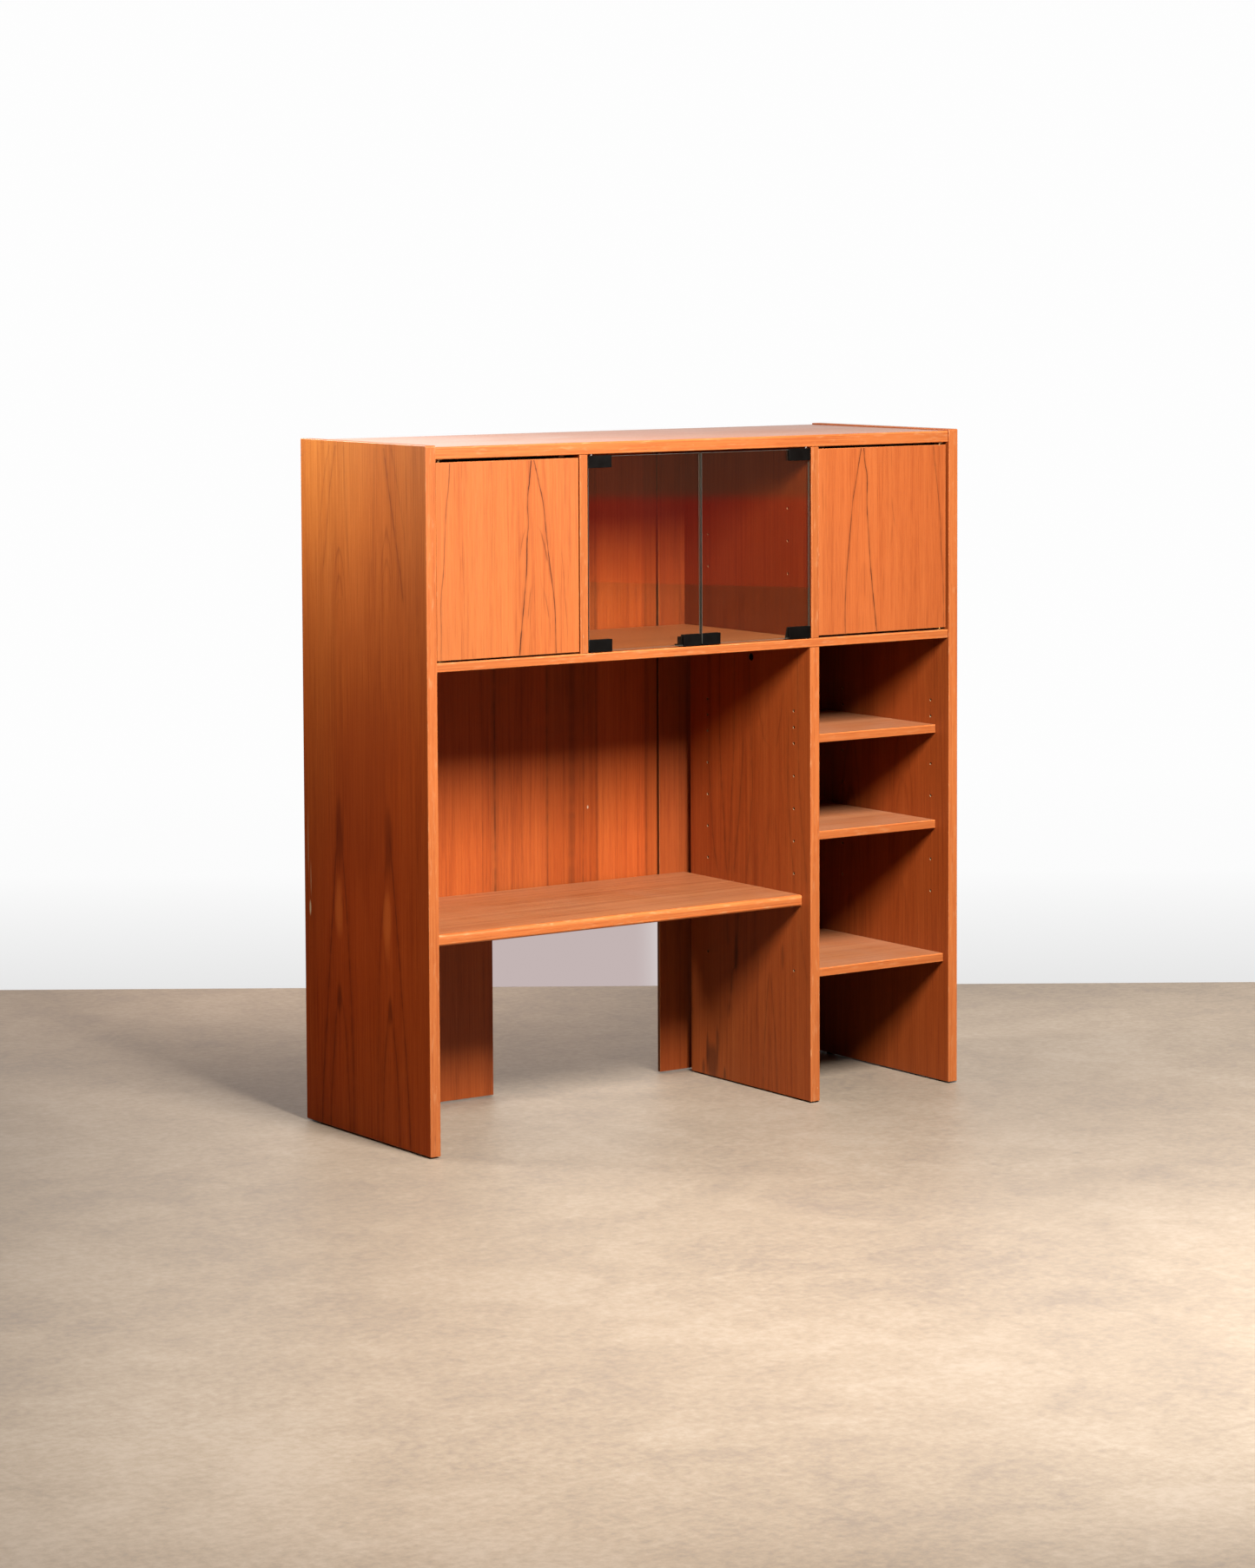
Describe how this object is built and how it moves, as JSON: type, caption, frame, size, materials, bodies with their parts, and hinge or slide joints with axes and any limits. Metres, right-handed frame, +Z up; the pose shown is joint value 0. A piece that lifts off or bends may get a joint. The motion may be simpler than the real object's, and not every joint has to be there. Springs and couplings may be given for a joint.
{
  "type": "secretary desk",
  "caption": "Full-height veneered wall desk: cupboards and a glass-fronted bay on top, an open desk bay with a wide shelf and kneehole on the left, open shelves on the right.",
  "frame": {"origin": "centre of the footprint, on the floor", "axes": "+Z up, -Y is the front with the doors, +X to the right as one faces the front"},
  "size_m": [1.242, 0.448, 1.31],
  "materials": {
    "teak_panel": "oiled vertical-grain teak veneer, satin",
    "teak_shelf": "oiled lengthwise-grain teak veneer with a solid front edge, satin",
    "teak_back": "teak veneer leaves, satin",
    "teak_door": "crown-cut teak veneer, satin",
    "door_glass": "lightly smoked float glass with ground edges",
    "black_plastic": "moulded, slightly worn",
    "pin_steel": "zinc plated",
    "pivot_brass": "satin",
    "latch_plastic": "moulded tan plastic",
    "glide_plastic": "dull, scuffed"
  },
  "bodies": {
    "root": {"left_side_panel": "teak_panel", "right_side_panel": "teak_panel", "top_panel": "teak_shelf", "mid_panel": "teak_shelf", "lower_divider": "teak_panel", "upper_divider_left": "teak_panel", "upper_divider_right": "teak_panel", "back_board_left": "teak_back", "back_board_right": "teak_back", "back_board_centre": "teak_back", "desk_shelf": "teak_shelf", "bay_shelf_upper": "teak_shelf", "bay_shelf_middle": "teak_shelf", "bay_shelf_lower": "teak_shelf", "desk_pin_left_front": "pin_steel", "desk_pin_left_rear": "pin_steel", "desk_pin_right_front": "pin_steel", "desk_pin_right_rear": "pin_steel", "upper_pin_left_front": "pin_steel", "upper_pin_left_rear": "pin_steel", "upper_pin_right_front": "pin_steel", "upper_pin_right_rear": "pin_steel", "middle_pin_left_front": "pin_steel", "middle_pin_left_rear": "pin_steel", "middle_pin_right_front": "pin_steel", "middle_pin_right_rear": "pin_steel", "left_door_bush_upper": "pivot_brass", "left_door_bush_lower": "pivot_brass", "right_door_bush_upper": "pivot_brass", "right_door_bush_lower": "pivot_brass", "left_door_latch_housing": "latch_plastic", "right_door_latch_housing": "latch_plastic", "glass_door_catch": "black_plastic", "glide_left_front": "glide_plastic", "glide_left_rear": "glide_plastic", "glide_right_front": "glide_plastic", "glide_right_rear": "glide_plastic", "glide_divider": "glide_plastic", "divider_cam": "black_plastic", "divider_cam_bolt": "pin_steel"},
    "left_door_leaf": {"left_door": "teak_door", "left_door_pivot_upper": "pivot_brass", "left_door_pivot_lower": "pivot_brass", "left_door_latch_strike": "pin_steel"},
    "right_door_leaf": {"right_door": "teak_door", "right_door_pivot_upper": "pivot_brass", "right_door_pivot_lower": "pivot_brass", "right_door_latch_strike": "pin_steel"},
    "left_glass_leaf": {"left_glass": "door_glass", "left_glass_hinge_upper": "black_plastic", "left_glass_hinge_lower": "black_plastic", "left_glass_strike": "black_plastic"},
    "right_glass_leaf": {"right_glass": "door_glass", "right_glass_hinge_upper": "black_plastic", "right_glass_hinge_lower": "black_plastic", "right_glass_strike": "black_plastic"},
    "left_touch_plunger": {"left_door_latch_plunger": "black_plastic"},
    "right_touch_plunger": {"right_door_latch_plunger": "black_plastic"}
  },
  "joints": [
    {"name": "left_door_hinge", "type": "hinge", "parent": "root", "child": "left_door_leaf", "pos_m": [-0.5855, -0.21, 1.096], "axis": [0, 0, -1], "range_deg": [0, 100]},
    {"name": "right_door_hinge", "type": "hinge", "parent": "root", "child": "right_door_leaf", "pos_m": [0.5854, -0.21, 1.096], "axis": [0, 0, 1], "range_deg": [0, 100]},
    {"name": "left_glass_hinge", "type": "hinge", "parent": "root", "child": "left_glass_leaf", "pos_m": [-0.2535, -0.217, 1.097], "axis": [0, 0, -1], "range_deg": [0, 105]},
    {"name": "right_glass_hinge", "type": "hinge", "parent": "root", "child": "right_glass_leaf", "pos_m": [0.2486, -0.217, 1.097], "axis": [0, 0, 1], "range_deg": [0, 105]},
    {"name": "left_touch_latch", "type": "slide", "parent": "root", "child": "left_touch_plunger", "axis": [0, 1, 0], "range_m": [0, 0.003], "stiffness_N_per_m": 300, "springref_m": -0.003},
    {"name": "right_touch_latch", "type": "slide", "parent": "root", "child": "right_touch_plunger", "axis": [0, 1, 0], "range_m": [0, 0.003], "stiffness_N_per_m": 300, "springref_m": -0.003}
  ]
}
